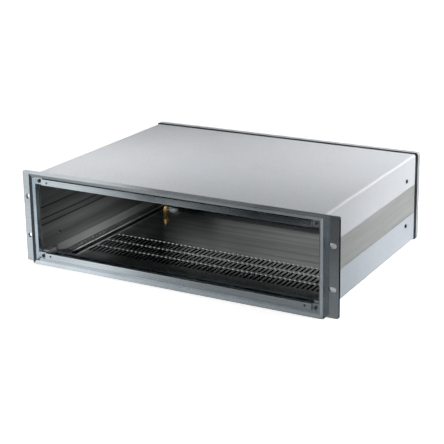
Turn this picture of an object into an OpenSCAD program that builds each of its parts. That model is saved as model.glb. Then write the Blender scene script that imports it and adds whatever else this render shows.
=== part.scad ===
// Rack mount case, three units high, for a 19 inch rack.
// X runs across the rack, Y from front to rear, Z up. Millimetres.
// The origin lies under the middle of the case, on the surface that it stands on.

/* [Rack] */
// Width over the mounting ears
rack_w = 482.6; // [460:0.1:520]
// Height of the front frame
case_h = 132.5; // [110:0.1:180]
// Width of each ear, outside the rim
ear_w = 16.9; // [15:0.1:24]
// Thickness of the ears
ear_t = 4; // [2.5:0.1:6]
// Corner radius of the ears
ear_r = 2; // [0.5:0.1:4]
// Distance from an ear's outer edge to its slot centres
slot_edge = 8.75; // [8:0.05:10]
// Height between the two slots of an ear
slot_z = 57.15; // [30:0.05:80]
// Length of a rack slot
rack_slot_l = 10.3; // [8:0.1:12]
// Width of a rack slot
rack_slot_w = 6.8; // [5:0.1:8]

/* [Front frame] */
// How far the rim stands in front of the ears
rim_out = 9; // [6:0.1:14]
// Width of the rim's bars
rim_bar = 5; // [4:0.1:8]
// Flat land left along the rim's outer edge
rim_land = 0.8; // [0.4:0.1:2]
// Fall of the rim's front face towards the opening
rim_fall = 1.5; // [0.5:0.1:2.5]
// Corner radius of the rim's opening
rim_r = 2.5; // [1:0.1:5]
// Depth of the panel recess below the rim's front
seat_depth = 4.5; // [3:0.1:6]
// Width of the seat around the opening
seat_w = 2.6; // [1.5:0.1:4]
// Step from the rim in to the side of the body
rim_over = 5.1; // [3:0.1:8]

/* [Body] */
// Depth from the ears' front to the rear frame
body_d = 324; // [240:1:480]
// Sheet thickness of the covers
sheet_t = 1.2; // [0.8:0.1:2]
// Inside radius of the covers' folds
fold_r = 1.8; // [0.8:0.1:3]
// Height of the gap between a cover and the frame's edge
cover_inset = 1.5; // [1:0.1:4]
// Height of the top cover's side flanges
top_flange_h = 44.5; // [38:0.5:50]
// Height of the bottom cover's side flanges
bottom_flange_h = 42.5; // [38:0.5:50]
// Gap between a cover and the front frame
front_seam = 0.8; // [0.3:0.1:2]
// Gap between a cover and the rear frame
rear_seam = 3.5; // [0.5:0.1:6]
// Clearance between a cover and the side panels
cover_fit = 0.1; // [0.05:0.05:0.3]

/* [Bottom slots] */
// Spacing of the ventilation slots
slot_pitch = 7.25; // [6:0.05:12]
// Width of a ventilation slot
vent_w = 3.4; // [2:0.1:4.5]
// Length of a ventilation slot
vent_l = 24.8; // [12:0.1:32]
// Rows of ventilation slots
vent_rows = 3; // [1:1:4]
// Metal left between two rows
vent_bridge = 2.5; // [2:0.1:6]
// Distance from the ears' front to the middle of the rows
vent_y = 106; // [90:1:140]
// Plain margin beside the rows
vent_margin = 34; // [28:0.5:60]

/* [Side panels] */
// Wall thickness of the side panels
panel_t = 2.5; // [2:0.1:4]
// Height of the perforated ledge above the cover
ledge_rise = 4.8; // [4:0.1:8]
// Thickness of the ledge
ledge_t = 2; // [1.2:0.1:3]
// Width of the ledge's sloping foot
foot_w = 8.5; // [6:0.1:10]
// Height of the ledge's sloping foot
foot_h = 7.5; // [5:0.1:9]
// Width of the ledge's flat part
ledge_w = 14; // [10:0.1:18]
// Distance from the ledge's edge to its row of holes
hole_edge = 7.7; // [4:0.1:9]
// Spacing of the holes in a ledge
hole_pitch = 9.25; // [7:0.05:15]
// Diameter of the holes in a ledge
hole_d = 3.2; // [2:0.1:4.5]
// Width of the grooves along the inside of a wall
groove_w = 2; // [1:0.1:3]
// Depth of those grooves
groove_d = 1; // [0.4:0.1:1.4]

/* [Rails] */
// Height of a rail
rail_h = 8.45; // [8:0.05:12]
// Thickness of a rail's web
rail_t = 2.5; // [2:0.1:3]
// Thickness of a rail's panel face
rail_face = 3.5; // [2.5:0.1:4]
// Distance from a rail's end to its panel hole
panel_hole_x = 9; // [7:0.1:20]
// Metal round the screw channel along a rail
channel_wall = 1.2; // [0.9:0.1:1.6]
// Distance from a rail's face to its screw channel
channel_y = 19.1; // [18.4:0.1:19.6]
// Depth of a corner block
block_d = 18; // [16.5:0.1:24]
// Width of a corner block
block_w = 9.4; // [8.6:0.1:12]
// Height of the gap between the front top rail and the frame's bar
rail_gap = 2; // [0.5:0.1:2.4]
// Clearance between a rail and its neighbours
rail_fit = 0.2; // [0.1:0.05:0.4]

/* [Rear] */
// Depth of the rear frame
rear_frame_d = 9; // [8.5:0.1:14]
// Step from the side of the body out to the rear frame
rear_over = 2.5; // [1:0.1:5]
// Width of the rear frame's bars
rear_bar = 4; // [3:0.1:5.5]
// Width of the seat in the rear frame
rear_seat_w = 2.2; // [1.5:0.1:3.6]
// Depth of the rear panel's recess
rear_recess = 4; // [3.2:0.1:4.5]
// Outer corner radius of the rear frame
rear_r = 4; // [2:0.1:7]
// Thickness of the rear panel
rear_panel_t = 2; // [1.5:0.1:2.5]

/* [Fasteners] */
// Shank diameter of the small screws
screw_d = 2.9; // [2.5:0.1:3]
// Head diameter of the small screws
head_d = 5.8; // [5:0.1:6.2]
// Head height of the small screws
head_h = 1.9; // [1.4:0.1:2]
// Length of the frame screws under the head
frame_screw_l = 13; // [9:0.1:13.2]
// Shank diameter of the rail screws
rail_screw_d = 3.9; // [3.5:0.1:4]
// Length of the rail screws
rail_screw_l = 22; // [18:0.5:40]
// Distance from either frame to the cover screws
cover_screw_y = 38; // [30:0.5:80]
// Distance from a cover's outer face to its side screws
cover_screw_drop = 31.25; // [26:0.25:36]
// Diameter of the press nuts behind the cover screws
nut_d = 6.4; // [5.6:0.1:8]
// Height of the press nuts
nut_h = 1.6; // [1.2:0.1:3]

/* [Earth terminal] */
// Distance from the side of the body to the stud
earth_x = 49.7; // [42:0.1:80]
// Distance from the rear frame to the stud
earth_y = 66.5; // [40:0.5:90]
// Diameter of the stud
stud_d = 4.9; // [3.9:0.1:5]
// Height of the stud above the cover
stud_h = 13.7; // [12.5:0.1:20]
// Width of the nuts across their flats
earth_nut_af = 8; // [7.5:0.1:10]
// Height of the nuts
earth_nut_h = 4; // [3:0.1:4.4]
// Thickness of the washers
washer_t = 1; // [0.6:0.1:1.2]
// Diameter of the washers
washer_d = 10; // [9:0.1:12]

/* [Hidden] */
$fn = 48;
// Overlap of a cutting tool past the face that it cuts
eps = 1;
// Radial clearance of a screw in a plain hole
hole_fit = 0.3;
// Clearance of a thread in its nut or tapped hole
thread_fit = 0.05;
// How far a frame screw's head lies below the panel seat
head_sink = 0.6;
// How far a corner block reaches past the rail
block_over = 1.5;
// Length of the frames' lips behind the covers' edges
lip_hold = 4;
// Greatest share of a wall's thickness that a cover's fold takes up
fold_share = 0.8;
// Inside radius of the covers' folds, kept within the wall behind it
fold = min(fold_r, fold_share * panel_t);
// Heights of the grooves above the middle of a wall
groove_v = [-12.85, -3.95, 12.75];
// Place of the frame screws across the rails' height, as a share of it
frame_screw_share = 0.6;
// Height of the panel holes above the middle of a rail's open side
panel_hole_rise = 1;
// Turn of the earth terminal's upper nut
upper_nut_turn = 20;
// Radius of the earth stud's head, as a share of the stud's diameter
stud_head_share = 0.8;
// Width, length and depth of a cross recess, as shares of the shank, the head and its height
recess_share = [0.28, 0.55, 0.6];
// Width and depth of a rail screw's socket, as shares of its diameter
socket_share = [0.6, 0.33];
// Radius of a press nut's shank, as a share of the nut's diameter
nut_shank_share = 0.33;
// How far a press nut's shank reaches into the wall, as a share of the wall
nut_reach = 0.7;
// Thickness of the frames' lips, as a share of the room under a ledge
lip_share = 0.7;

// Places along Y
overall_d = rim_out + body_d + rear_frame_d;
front_y = -overall_d / 2;
ear_front = front_y + rim_out;
ear_back = ear_front + ear_t;
front_seat = front_y + seat_depth;
rear_face = ear_front + body_d;
rear_back = rear_face + rear_frame_d;
rear_seat = rear_back - rear_recess;
cover_front = ear_back + front_seam;
cover_rear = rear_face - rear_seam;

// Places along X and Z
mid_z = case_h / 2;
rim_w = rack_w - 2 * ear_w;
rim_in_w = rim_w - 2 * rim_bar;
rim_in_h = case_h - 2 * rim_bar;
open_w = rim_in_w - 2 * seat_w;
rail_out = rim_in_h / 2 - seat_w - rail_fit;
rail_in = rail_out - rail_h;
open_top = min(rim_in_h / 2, rail_out + rail_gap);
open_sill = rail_out + rail_fit;
body_w = rim_w - 2 * rim_over;
rear_w = body_w + 2 * rear_over;
rear_in_w = rear_w - 2 * rear_bar;
rear_in_h = case_h - 2 * rear_bar;
rear_open_w = rear_in_w - 2 * rear_seat_w;
rear_open_h = rear_in_h - 2 * rear_seat_w;
wall_out = body_w / 2 - sheet_t - cover_fit;
wall_in = wall_out - panel_t;
cover_in = mid_z - cover_inset - sheet_t;

// Corner blocks, rails and their screws
block_in = wall_in - block_w;
rail_end = block_in - rail_fit / 2;
lug_in = block_in + rail_fit;
bead = rail_screw_d + 2 * channel_wall;
rail_d = channel_y + bead / 2;
channel_v = rail_out - bead / 2;
panel_hole_v = rail_in + (rail_h - rail_t) / 2 + panel_hole_rise;
panel_hole_r = screw_d / 2 + thread_fit;
frame_screw_x = block_in + block_w / 2;
frame_screw_v = rail_in + rail_h * frame_screw_share;
head_seat_front = front_seat + head_h + head_sink;
head_seat_rear = rear_seat - head_h - head_sink;
channel_places = [front_seat + channel_y, rear_seat - channel_y];
panel_screw_x = rail_end - panel_hole_x;

// Ledges, grooves and cover screws on the side panels
ledge_top_v = cover_in - ledge_rise;
ledge_under_v = ledge_top_v + ledge_t;
cover_screw_places = [ear_back + cover_screw_y, rear_face - cover_screw_y];
cover_screw_v = cover_in + sheet_t - cover_screw_drop;
nut_shank_r = nut_d * nut_shank_share;
stud_head_r = stud_d * stud_head_share;
lip_out = cover_in - cover_fit;
lip_t = (ledge_rise - ledge_t) * lip_share;

// Draws its flat child, given in X and Z, from one place along Y to another
module along_y(y0, y1) {
  translate([0, y1, 0]) rotate([90, 0, 0]) linear_extrude(y1 - y0) children();
}

// Draws its flat child, given in Y and Z, from one place along X to another
module along_x(x0, x1) {
  translate([x0, 0, 0]) rotate([90, 0, 90]) linear_extrude(x1 - x0) children();
}

// A centred rectangle with rounded corners
module rounded_rect(w, h, r) {
  square([w - 2 * r, h], center = true);
  square([w, h - 2 * r], center = true);
  for (x = [-1, 1], y = [-1, 1])
    translate([x * (w / 2 - r), y * (h / 2 - r)]) circle(r);
}

// A centred slot with round ends, long in its first direction
module round_slot(l, w) {
  square([l - w, w], center = true);
  for (x = [-1, 1]) translate([x * (l - w) / 2, 0]) circle(w / 2);
}

// The same shape at the left and the right, and above and below the middle
module four_corners() {
  for (m = [0, 1], n = [0, 1])
    translate([0, 0, mid_z]) mirror([m, 0, 0]) mirror([0, 0, n]) children();
}

// A pan head screw along Z: its seat at zero, its shank downwards
module pan_screw(shank_d, length, top_d, top_h) {
  recess_w = shank_d * recess_share[0];
  recess_l = top_d * recess_share[1];
  recess_d = top_h * recess_share[2];
  difference() {
    union() {
      translate([0, 0, -length]) cylinder(d = shank_d, h = length + top_h / 2);
      intersection() {
        cylinder(d = top_d, h = top_h);
        translate([0, 0, top_h - top_d]) sphere(top_d);
      }
    }
    translate([0, 0, top_h]) cube([recess_l, recess_w, 2 * recess_d], center = true);
    translate([0, 0, top_h]) cube([recess_w, recess_l, 2 * recess_d], center = true);
  }
}

// The rim's front face: it falls from a narrow land towards the opening
module rim_slope() {
  skin = 0.01;
  hull() {
    translate([0, front_y - skin / 2, mid_z])
      cube([rim_w - 2 * rim_land, skin, case_h - 2 * rim_land], center = true);
    translate([0, front_y + rim_fall - skin / 2, mid_z])
      cube([rim_in_w, skin, rim_in_h], center = true);
  }
}

module front_frame() {
  color("slategray") difference() {
    union() {
      difference() {
        translate([0, 0, mid_z]) union() {
          along_y(ear_front, ear_back) rounded_rect(rack_w, case_h, ear_r);
          along_y(front_y, ear_back) rounded_rect(rim_w, case_h, rim_land);
        }
        translate([0, 0, mid_z]) {
          along_y(front_y - eps, front_seat) rounded_rect(rim_in_w, rim_in_h, rim_r);
          along_y(front_seat - eps, ear_back + eps) translate([-open_w / 2, -open_sill])
            square([open_w, open_sill + open_top]);
        }
        rim_slope();
        for (x = [-1, 1], z = [-1, 1])
          translate([x * (rack_w / 2 - slot_edge), 0, mid_z + z * slot_z / 2])
            along_y(ear_front - eps, ear_back + eps) round_slot(rack_slot_l, rack_slot_w);
      }
      four_corners() along_y(head_seat_front, ear_back) lug(open_w / 2, open_top);
      cover_lips(ear_back, cover_front + lip_hold);
    }
    four_corners() frame_screw_hole(head_seat_front - eps, ear_back + eps, hole_fit);
  }
}

module rear_frame() {
  color("gainsboro") difference() {
    union() {
      translate([0, 0, mid_z]) difference() {
        along_y(rear_face, rear_back) rounded_rect(rear_w, case_h, rear_r);
        along_y(rear_seat, rear_back + eps) square([rear_in_w, rear_in_h], center = true);
        along_y(rear_face - eps, rear_seat + eps) square([rear_open_w, rear_open_h], center = true);
      }
      four_corners() along_y(rear_face, head_seat_rear) lug(rear_open_w / 2, rear_open_h / 2);
      cover_lips(cover_rear - lip_hold, rear_face);
    }
    four_corners() frame_screw_hole(rear_face - eps, head_seat_rear + eps, hole_fit);
  }
}

// The lips of a frame that hold the covers' edges, above and below
module cover_lips(y0, y1) {
  lip_w = 2 * (wall_in - rail_fit);
  translate([0, 0, mid_z]) for (m = [0, 1]) mirror([0, 0, m])
    translate([-lip_w / 2, y0, lip_out - lip_t]) cube([lip_w, y1 - y0, lip_t]);
}

// A frame's corner lug, from the corner block's edge out into the frame's bars
module lug(x_out, v_out) {
  root = 0.5;
  translate([lug_in, rail_in]) square([x_out + root - lug_in, v_out + root - rail_in]);
}

// The hole for a frame screw, in a lug or in a corner block
module frame_screw_hole(y0, y1, fit) {
  along_y(y0, y1) translate([frame_screw_x, frame_screw_v]) circle(screw_d / 2 + fit);
}

// Section of the perforated ledge: a sloping foot on the wall, then a flat shelf
module ledge_section() {
  slope = foot_h / foot_w;
  root = panel_t / 2;
  shelf_in = wall_in - foot_w - ledge_w;
  top_at_wall = ledge_top_v - foot_h;
  under_at_wall = top_at_wall + ledge_t * sqrt(1 + slope * slope);
  under_corner = wall_in - (ledge_under_v - under_at_wall) / slope;
  polygon([
    [wall_in + root, top_at_wall], [wall_in, top_at_wall],
    [wall_in - foot_w, ledge_top_v], [shelf_in, ledge_top_v], [shelf_in, ledge_under_v],
    [under_corner, ledge_under_v], [wall_in, under_at_wall], [wall_in + root, under_at_wall]
  ]);
}

// Section of a side wall, with its outer corners cut to clear the covers' folds
module wall_section() {
  end = cover_in - cover_fit;
  polygon([
    [wall_in, -end], [wall_out - fold, -end], [wall_out, fold - end],
    [wall_out, end - fold], [wall_out - fold, end], [wall_in, end]
  ]);
}

// A side panel, drawn at the right of the case
module side_panel() {
  ledge_front = max(ear_back + block_d, front_seat + rail_d) + rail_fit;
  ledge_rear = min(rear_face - block_d, rear_seat - rail_d) - rail_fit;
  shelf_hole_x = wall_in - foot_w - ledge_w + hole_edge;
  hole_count = floor((ledge_rear - ledge_front - 2 * hole_d) / hole_pitch);
  first_hole = (ledge_front + ledge_rear - hole_count * hole_pitch) / 2;
  difference() {
    translate([0, 0, mid_z]) union() {
      along_y(ear_back, rear_face) wall_section();
      for (m = [0, 1]) mirror([0, 0, m]) along_y(ledge_front, ledge_rear) ledge_section();
    }
    translate([0, 0, mid_z]) {
      for (v = groove_v)
        along_y(ear_back - eps, rear_face + eps)
          translate([wall_in - eps, v - groove_w / 2]) square([groove_d + eps, groove_w]);
      for (m = [0, 1], i = [0 : hole_count])
        mirror([0, 0, m]) translate([shelf_hole_x, first_hole + i * hole_pitch, ledge_top_v - eps])
          cylinder(d = hole_d, h = ledge_t + 2 * eps);
      for (m = [0, 1], y = channel_places) mirror([0, 0, m]) translate([0, y, channel_v]) {
        translate([wall_in - eps, 0, 0]) rotate([0, 90, 0])
          cylinder(r = rail_screw_d / 2 + hole_fit, h = panel_t + 2 * eps);
        translate([wall_out, 0, 0]) countersink(rail_screw_d, hole_fit);
      }
      for (z = [-1, 1], y = cover_screw_places)
        translate([wall_in - eps, y, z * cover_screw_v]) rotate([0, 90, 0])
          cylinder(r = nut_shank_r + thread_fit, h = panel_t + 2 * eps);
    }
  }
}

module right_side_panel() {
  color("darkseagreen") side_panel();
}

module left_side_panel() {
  color("darkseagreen") mirror([1, 0, 0]) side_panel();
}

// A countersunk head along X with its flat face at zero
module countersink(shank_d, fit) {
  depth = shank_d / 2;
  rotate([0, -90, 0]) cylinder(r1 = shank_d + fit, r2 = shank_d / 2 + fit, h = depth);
}

// Section of a cover with its flanges down, in X and Z about the middle
module cover_section(flange_h) {
  outer_h = cover_in + sheet_t;
  difference() {
    rounded_rect(body_w, 2 * outer_h, fold + sheet_t);
    rounded_rect(body_w - 2 * sheet_t, 2 * cover_in, fold);
    translate([-body_w, -body_w + outer_h - flange_h]) square([2 * body_w, body_w]);
  }
}

// A cover with its flanges down and its screw holes
module cover(flange_h) {
  difference() {
    along_y(cover_front, cover_rear) cover_section(flange_h);
    for (m = [0, 1], y = cover_screw_places)
      mirror([m, 0, 0]) translate([wall_out - eps, y, cover_screw_v]) rotate([0, 90, 0])
        cylinder(r = screw_d / 2 + hole_fit, h = sheet_t + cover_fit + 2 * eps);
  }
}

module top_cover() {
  color("lightgray") translate([0, 0, mid_z]) cover(top_flange_h);
}

module bottom_cover() {
  columns = floor((body_w / 2 - vent_margin) / slot_pitch);
  row_pitch = vent_l + vent_bridge;
  color("lightsteelblue") difference() {
    translate([0, 0, mid_z]) mirror([0, 0, 1]) cover(bottom_flange_h);
    translate([0, ear_front + vent_y, cover_inset - eps]) linear_extrude(sheet_t + 2 * eps)
      for (i = [-columns : columns], j = [0 : vent_rows - 1])
        translate([i * slot_pitch, (j - (vent_rows - 1) / 2) * row_pitch])
          rotate(90) round_slot(vent_l, vent_w);
    at_earth() translate([0, 0, -sheet_t - eps])
      cylinder(r = stud_head_r + thread_fit, h = sheet_t + 2 * eps);
  }
}

module rear_panel() {
  color("silver") difference() {
    translate([0, 0, mid_z]) along_y(rear_seat, rear_seat + rear_panel_t)
      square([rear_in_w - 2 * rail_fit, rear_in_h - 2 * rail_fit], center = true);
    four_corners() along_y(rear_seat - eps, rear_seat + rear_panel_t + eps)
      translate([panel_screw_x, panel_hole_v]) circle(screw_d / 2 + hole_fit);
  }
}

// Section of a rail in Y and Z: panel face, web and a square bead with the screw channel
module rail_section() {
  difference() {
    union() {
      translate([0, rail_in]) square([rail_face, rail_h]);
      translate([0, rail_out - rail_t]) square([rail_d, rail_t]);
      translate([rail_d - bead, rail_out - bead]) square(bead);
    }
    translate([channel_y, channel_v]) circle(rail_screw_d / 2 + thread_fit);
  }
}

// A rail above the middle, with its panel face at zero along Y
module rail() {
  difference() {
    along_x(-rail_end, rail_end) rail_section();
    for (x = [-1, 1])
      translate([x * panel_screw_x, 0, panel_hole_v]) rotate([-90, 0, 0])
        translate([0, 0, -eps]) cylinder(r = panel_hole_r, h = rail_face + 2 * eps);
  }
}

module front_top_rail() {
  color("slategray") translate([0, front_seat, mid_z]) rail();
}

module front_bottom_rail() {
  color("slategray") translate([0, front_seat, mid_z]) mirror([0, 0, 1]) rail();
}

module rear_top_rail() {
  color("darkgray") translate([0, rear_seat, mid_z]) mirror([0, 1, 0]) rail();
}

module rear_bottom_rail() {
  color("darkgray") translate([0, rear_seat, mid_z]) mirror([0, 1, 0]) mirror([0, 0, 1]) rail();
}

// Four corner blocks from one place along Y, tapped from one end for the frame screws
module corner_blocks(y0, tap_y0, tap_y1, channel_place) {
  four_corners() difference() {
    along_y(y0, y0 + block_d) translate([block_in, rail_in - block_over])
      square([block_w, ledge_under_v - rail_in + block_over]);
    frame_screw_hole(tap_y0, tap_y1, thread_fit);
    translate([block_in - eps, channel_place, channel_v]) rotate([0, 90, 0])
      cylinder(r = rail_screw_d / 2 + hole_fit, h = block_w + 2 * eps);
  }
}

module front_corner_blocks() {
  tap_end = head_seat_front + frame_screw_l;
  color("gray") corner_blocks(ear_back, ear_back - eps, tap_end, channel_places[0]);
}

module rear_corner_blocks() {
  tap_end = head_seat_rear - frame_screw_l;
  color("gray") corner_blocks(rear_face - block_d, tap_end, rear_face + eps, channel_places[1]);
}

module front_frame_screws() {
  color("whitesmoke") four_corners() translate([frame_screw_x, head_seat_front, frame_screw_v])
    rotate([90, 0, 0]) pan_screw(screw_d, frame_screw_l, head_d, head_h);
}

module rear_frame_screws() {
  color("whitesmoke") four_corners() translate([frame_screw_x, head_seat_rear, frame_screw_v])
    rotate([-90, 0, 0]) pan_screw(screw_d, frame_screw_l, head_d, head_h);
}

// Four countersunk screws that draw the rails' ends against the side panels
module rail_screws(y) {
  socket_d = rail_screw_d * socket_share[0];
  socket_h = rail_screw_d * socket_share[1];
  four_corners() translate([wall_out, y, channel_v]) difference() {
    union() {
      countersink(rail_screw_d, 0);
      rotate([0, -90, 0]) cylinder(d = rail_screw_d, h = rail_screw_l);
    }
    rotate([0, -90, 0]) translate([0, 0, -eps])
      cylinder(d = socket_d, h = eps + socket_h, $fn = 6);
  }
}

module front_rail_screws() {
  color("silver") rail_screws(channel_places[0]);
}

module rear_rail_screws() {
  color("silver") rail_screws(channel_places[1]);
}

// Two screws on each side of a cover, above the middle
module cover_screws() {
  length = sheet_t + cover_fit + panel_t + nut_h;
  for (m = [0, 1], y = cover_screw_places)
    mirror([m, 0, 0]) translate([body_w / 2, y, cover_screw_v]) rotate([0, 90, 0])
      pan_screw(screw_d, length, head_d, head_h);
}

module top_cover_screws() {
  color("black") translate([0, 0, mid_z]) cover_screws();
}

module bottom_cover_screws() {
  color("black") translate([0, 0, mid_z]) mirror([0, 0, 1]) cover_screws();
}

// The press nuts that a cover's screws run into, on the inside of the walls
module cover_nuts() {
  shank_l = panel_t * nut_reach;
  for (m = [0, 1], y = cover_screw_places)
    mirror([m, 0, 0]) translate([wall_in, y, cover_screw_v]) rotate([0, 90, 0]) difference() {
      union() {
        translate([0, 0, -nut_h]) cylinder(d = nut_d, h = nut_h);
        translate([0, 0, -nut_h / 2]) cylinder(r = nut_shank_r, h = nut_h / 2 + shank_l);
      }
      translate([0, 0, -nut_h - eps])
        cylinder(r = screw_d / 2 + thread_fit, h = nut_h + shank_l + 2 * eps);
    }
}

module top_cover_nuts() {
  color("silver") translate([0, 0, mid_z]) cover_nuts();
}

module bottom_cover_nuts() {
  color("silver") translate([0, 0, mid_z]) mirror([0, 0, 1]) cover_nuts();
}

module rear_panel_screws() {
  length = rear_panel_t + rail_face;
  color("silver") four_corners() translate([panel_screw_x, rear_seat + rear_panel_t, panel_hole_v])
    rotate([-90, 0, 0]) pan_screw(screw_d, length, head_d, head_h);
}

// Places its child over the earth stud, on the upper face of the bottom cover
module at_earth() {
  translate([earth_x - body_w / 2, rear_face - earth_y, mid_z - cover_in]) children();
}

module earth_stud() {
  color("goldenrod") at_earth() {
    translate([0, 0, -sheet_t]) cylinder(r = stud_head_r, h = sheet_t);
    translate([0, 0, -sheet_t / 2]) cylinder(d = stud_d, h = sheet_t / 2 + stud_h);
  }
}

// A flat washer around the stud, resting at zero
module washer() {
  difference() {
    cylinder(d = washer_d, h = washer_t);
    translate([0, 0, -eps]) cylinder(r = stud_d / 2 + hole_fit, h = washer_t + 2 * eps);
  }
}

// A hexagon nut on the stud, resting at zero
module earth_nut() {
  difference() {
    cylinder(d = earth_nut_af / cos(30), h = earth_nut_h, $fn = 6);
    translate([0, 0, -eps]) cylinder(r = stud_d / 2 + thread_fit, h = earth_nut_h + 2 * eps);
  }
}

module earth_washers() {
  color("goldenrod") at_earth() for (z = [0, washer_t + earth_nut_h]) translate([0, 0, z]) washer();
}

module earth_lower_nut() {
  color("goldenrod") at_earth() translate([0, 0, washer_t]) earth_nut();
}

module earth_upper_nut() {
  seat = 2 * washer_t + earth_nut_h;
  color("goldenrod") at_earth() translate([0, 0, seat]) rotate(upper_nut_turn) earth_nut();
}

front_frame();
rear_frame();
left_side_panel();
right_side_panel();
top_cover();
bottom_cover();
rear_panel();
front_top_rail();
front_bottom_rail();
rear_top_rail();
rear_bottom_rail();
front_corner_blocks();
rear_corner_blocks();
front_frame_screws();
rear_frame_screws();
front_rail_screws();
rear_rail_screws();
top_cover_screws();
bottom_cover_screws();
top_cover_nuts();
bottom_cover_nuts();
rear_panel_screws();
earth_stud();
earth_washers();
earth_lower_nut();
earth_upper_nut();
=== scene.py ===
"""Dresses the rack mount case: finishes, soft edges, screws, earth terminal, studio and camera."""
import logging
import math
from dataclasses import dataclass
from enum import Enum

import bpy
from mathutils import Euler, Matrix, Vector


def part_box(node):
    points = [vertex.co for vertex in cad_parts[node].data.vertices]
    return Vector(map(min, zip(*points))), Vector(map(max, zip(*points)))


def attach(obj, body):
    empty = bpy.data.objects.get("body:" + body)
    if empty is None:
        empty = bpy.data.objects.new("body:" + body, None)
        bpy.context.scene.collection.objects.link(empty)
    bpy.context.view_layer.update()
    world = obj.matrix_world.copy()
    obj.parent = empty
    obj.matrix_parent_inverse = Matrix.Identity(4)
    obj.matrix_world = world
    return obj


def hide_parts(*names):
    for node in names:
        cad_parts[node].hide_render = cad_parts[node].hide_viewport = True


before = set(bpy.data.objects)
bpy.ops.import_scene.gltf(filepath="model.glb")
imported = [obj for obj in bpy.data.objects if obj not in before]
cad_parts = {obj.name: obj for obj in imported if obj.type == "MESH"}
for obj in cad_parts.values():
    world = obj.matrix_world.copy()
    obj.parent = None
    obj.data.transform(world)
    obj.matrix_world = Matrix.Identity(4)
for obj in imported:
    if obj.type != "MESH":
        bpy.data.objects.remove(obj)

LOG = logging.getLogger("rack_case")
MM = 0.001
BODY = "root"
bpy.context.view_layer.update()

Color = tuple[float, float, float]
Triple = tuple[float, float, float]
Profile = list[tuple[float, float]]
Piece = bpy.types.Object
Socket = bpy.types.NodeSocket
Value = Socket | float


class Grain(Enum):
    """Direction of a metal's brushing lines, as lines per metre along X, Y and Z."""

    ALONG_X = (9.0, 420.0, 420.0)
    ALONG_Y = (420.0, 9.0, 420.0)
    ALONG_Z = (420.0, 420.0, 9.0)
    BROAD_X = (2.5, 80.0, 80.0)
    BROAD_Y = (80.0, 2.5, 80.0)
    NONE = (160.0, 160.0, 160.0)


class Axis(Enum):
    """An axis of the part."""

    X = "X"
    Y = "Y"
    Z = "Z"


@dataclass(frozen=True)
class MetalFinish:
    """A metal or painted surface with brushing lines, fine speckle and handling haze.

    The slot names the record's material that the finish belongs to.
    """

    slot: str
    color: Color
    metallic: float = 1.0
    roughness: float = 0.38
    haze: float = 0.05
    grain: Grain = Grain.NONE
    grain_tone: float = 0.06
    grain_depth: float = 0.02
    speckle_tone: float = 0.05
    speckle_depth: float = 0.03


@dataclass(frozen=True)
class SheetFinish(MetalFinish):
    """A wall with bare cut edges whose face inside the case has a finish of its own.

    Cut edges are the upright faces nearer than a limit along the edge axis. The inner side is 1
    where the inner face looks away from the part's middle along the inner axis, and -1 where it
    looks towards it. Ledges are nearer than a limit along the inner axis and take the inner
    finish too. An inner colour darker than the outer one is painted shade. Grooves lie within a
    reach of a distance along the inner axis and get painted shade. A limit or a reach of 0 leaves
    its feature out.
    """

    edge_color: Color = (0.85, 0.86, 0.86)
    edge_roughness: float = 0.2
    edge_metallic: float = 1.0
    edge_axis: Axis = Axis.Z
    edge_limit: float = 0.0
    inner_axis: Axis = Axis.Z
    inner_side: float = 1.0
    inner_color: Color = (0.5, 0.5, 0.5)
    inner_metallic: float = 1.0
    inner_roughness: float = 0.14
    inner_grain: Grain = Grain.BROAD_X
    inner_tone: float = 0.28
    ledge_limit: float = 0.0
    groove_at: float = 0.0
    groove_reach: float = 0.0
    # Painted shade for the groove bottoms.
    painted_groove_shade: Color = (0.035, 0.036, 0.036)


@dataclass(frozen=True)
class PaintedShadeFinish(SheetFinish):
    """A frame or rail whose faces towards the middle of the case get painted shade, near black."""

    inner_axis: Axis = Axis.Y
    inner_side: float = -1.0
    # Painted shade: the near-black colour of the faces that look into the case.
    inner_color: Color = (0.05, 0.052, 0.055)
    inner_metallic: float = 0.2
    inner_roughness: float = 0.42


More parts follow.
